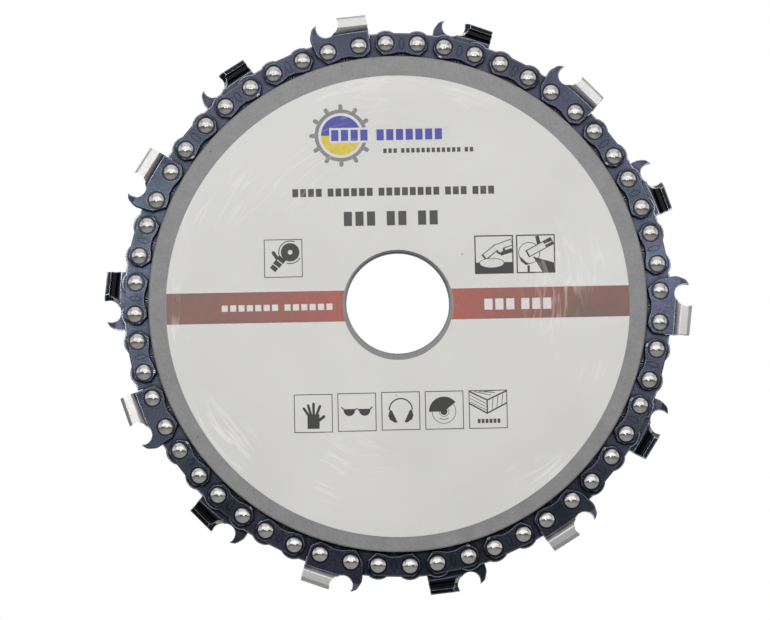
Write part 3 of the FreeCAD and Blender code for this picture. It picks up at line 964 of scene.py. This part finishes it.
def print_label():
    pale = ink("pale_ink", PALE)
    paper = ink("paper_gaps", PAPER)
    dark = ink("dark_ink", DARK)
    blue = ink("blue_ink", BLUE)
    lay_print("print_band", ink("maroon_ink", MAROON, WORN_MAROON), draw_band)
    lay_print("print_band_borders", pale, draw_band_borders)
    lay_print("print_band_words", pale, draw_pale_words, 1)
    lay_print("print_dark_words", ink("soft_dark_ink", SOFT_DARK), draw_dark_words)
    lay_print("print_badge_ring", ink("grey_ink", GREY), draw_badge_ring, 0, BADGE_PLACE)
    lay_print("print_badge_top", blue, draw_badge_top, 0, BADGE_PLACE)
    lay_print("print_badge_foot", ink("yellow_ink", YELLOW), draw_badge_foot, 0, BADGE_PLACE)
    lay_print("print_name_halo", paper, draw_name_halo, 1)
    lay_print("print_name_blocks", blue, draw_name_blocks, 2)
    lay_print("print_icon_frames", dark, draw_icon_frames)
    for name, draw in icon_drawings.items():
        lay_print("print_icon_" + name, dark, draw, 0, ICON_PLACES[name])
    for name, draw in gap_drawings.items():
        lay_print("print_icon_" + name + "_gaps", paper, draw, 1, ICON_PLACES[name])


# ---------------------------------------------------------------- painted shade in the chain's slits

def shade_chain_gaps():
    """A dark bead of painted shade in the slit between each two drive links, just above the rim."""
    plate_low, plate_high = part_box("front_plate")
    rim = (plate_high.x - plate_low.x) / 2.0
    uneven = random.Random(GAP_SHADE_SEED)
    mesh = bmesh.new()
    for station in range(LINK_COUNT):
        turn = REST_ANGLE + station * LINK_PITCH
        width, thickness, height = (size * uneven.uniform(1.0 - GAP_SHADE_VARIATION, 1.0) for size in GAP_SHADE_SIZE)
        place = (
            Matrix.Rotation(-turn, 4, "Y")
            @ Matrix.Translation((rim + GAP_SHADE_LIFT + height / 2.0, 0.0, 0.0))
            @ Matrix.Diagonal((height, thickness, width, 1.0))
        )
        bmesh.ops.create_uvsphere(mesh, u_segments=12, v_segments=8, radius=0.5, matrix=place)
    for face in mesh.faces:
        face.smooth = True
    # Dark beads that fill the see-through slits, as painted shade.
    piece = make_object(mesh, "gap_shade", gap_shade())
    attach(piece, "chain")


# ---------------------------------------------------------------- finishes on the frame

def paint(node, material):
    for place in node.material_slots:
        place.material = material


def paint_frame():
    plate = blasted_plate()
    core = turned_core()
    link = blued_link()
    front_cutter = cutter_steel("front_cutter_steel", -1.0)
    rear_cutter = cutter_steel("rear_cutter_steel", 1.0)
    rivet = rivet_steel()
    paper = label_paper()
    for name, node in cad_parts.items():
        if name == "label":
            paint(node, paper)
        elif name in ("core_disc", "plate_rivets"):
            paint(node, core)
        elif name in ("front_plate", "rear_plate"):
            paint(node, plate)
        elif name == "chain_rivets":
            paint(node, rivet)
        elif name.startswith("cutter_front"):
            paint(node, front_cutter)
        elif name.startswith("cutter_rear"):
            paint(node, rear_cutter)
        else:
            paint(node, link)


# ---------------------------------------------------------------- studio

def add_camera():
    data = bpy.data.cameras.new("camera")
    data.lens = CAMERA_LENS
    data.sensor_width = CAMERA_SENSOR
    data.shift_x, data.shift_y = CAMERA_SHIFT
    data.clip_start = 0.01
    camera = bpy.data.objects.new("camera", data)
    back = Vector(
        (
            math.sin(CAMERA_AZIMUTH) * math.cos(CAMERA_ELEVATION),
            -math.cos(CAMERA_AZIMUTH) * math.cos(CAMERA_ELEVATION),
            math.sin(CAMERA_ELEVATION),
        )
    )
    camera.location = back * CAMERA_DISTANCE
    camera.rotation_euler = (-back).to_track_quat("-Z", "Y").to_euler()
    bpy.context.scene.collection.objects.link(camera)
    bpy.context.scene.camera = camera


def add_floor():
    """A pale floor that is darker where polished steel mirrors it, and more so further off."""
    mesh = bmesh.new()
    bmesh.ops.create_grid(mesh, x_segments=1, y_segments=1, size=FLOOR_SIDE / 2.0)
    bmesh.ops.translate(mesh, verts=mesh.verts, vec=(0.0, 0.0, FLOOR_HEIGHT))
    material, tree, shader, given = new_material("floor_white")
    shade = ramp(tree, noise(tree, given.outputs["Object"], 3.0), FLOOR_SHADES)
    rays = tree.nodes.new("ShaderNodeLightPath")
    reach = add(tree, "ShaderNodeVectorMath", {"operation": "LENGTH"}, {0: given.outputs["Object"]})
    mirrored = ramp(tree, maths(tree, "MULTIPLY", reach.outputs["Value"], 0.5), FLOOR_MIRRORED)
    tree.links.new(mix(tree, rays.outputs["Is Glossy Ray"], shade, mirrored), shader.inputs["Base Color"])
    shader.inputs["Roughness"].default_value = 0.8
    floor = make_object(mesh, "floor", material)


def add_light(name, place, size, power, aim=(0.0, 0.0, 0.0)):
    """A soft box aimed at the middle of the disc, or at another point."""
    data = bpy.data.lights.new(name, "AREA")
    data.shape = "RECTANGLE"
    data.size, data.size_y = size
    data.energy = power
    lamp = bpy.data.objects.new(name, data)
    lamp.location = place
    lamp.rotation_euler = (Vector(aim) - Vector(place)).to_track_quat("-Z", "Y").to_euler()
    bpy.context.scene.collection.objects.link(lamp)


def light_room():
    """White behind the object, and a room that is bright overhead and at the sides and dim at eye height."""
    world = bpy.data.worlds.new("room")
    world.use_nodes = True
    bpy.context.scene.world = world
    tree = world.node_tree
    backdrop = tree.nodes["Background"]
    backdrop.inputs["Color"].default_value = (1.0, 1.0, 1.0, 1.0)
    given = tree.nodes.new("ShaderNodeTexCoord")
    parts = add(tree, "ShaderNodeSeparateXYZ", None, {"Vector": given.outputs["Generated"]})
    lifted = maths(tree, "ADD", maths(tree, "MULTIPLY", parts.outputs["Z"], 0.5), 0.5)
    walls = ramp(tree, lifted, ROOM_SHADES)
    sideways = ramp(tree, maths(tree, "ABSOLUTE", parts.outputs["X"]), ROOM_SIDE_REACH)
    walls = mix(tree, sideways, walls, ROOM_SIDE_SHADE)
    room = add(tree, "ShaderNodeBackground", None, {"Color": walls, "Strength": 1.0})
    rays = tree.nodes.new("ShaderNodeLightPath")
    both = add(tree, "ShaderNodeMixShader")
    tree.links.new(rays.outputs["Is Camera Ray"], both.inputs[0])
    tree.links.new(room.outputs["Background"], both.inputs[1])
    tree.links.new(backdrop.outputs["Background"], both.inputs[2])
    tree.links.new(both.outputs["Shader"], tree.nodes["World Output"].inputs["Surface"])


def light_object():
    """Soft boxes over and behind the disc, a row of tubes in front and a small box at each side."""
    add_light("overhead_box", OVERHEAD_PLACE, OVERHEAD_SIZE, OVERHEAD_POWER)
    add_light("rear_box", REAR_PLACE, REAR_SIZE, REAR_POWER)
    for number in range(TUBE_COUNT):
        across = (number - (TUBE_COUNT - 1) / 2.0) * TUBE_SPACING
        place = (across, TUBE_DISTANCE, TUBE_LEVEL)
        add_light(f"front_tube_{number + 1:02d}", place, TUBE_SIZE, TUBE_POWER, (across, 0.0, TUBE_LEVEL))
    for side, across in SIDE_BOX_ACROSS.items():
        place = (across, TUBE_DISTANCE, SIDE_BOX_LEVEL)
        aim = (across, 0.0, SIDE_BOX_LEVEL)
        add_light("side_box_" + side, place, SIDE_BOX_SIZE, SIDE_BOX_POWERS[side], aim)


paint_frame()
print_label()
shade_chain_gaps()
add_camera()
add_floor()
light_room()
light_object()
bpy.context.scene.view_settings.view_transform = "Standard"
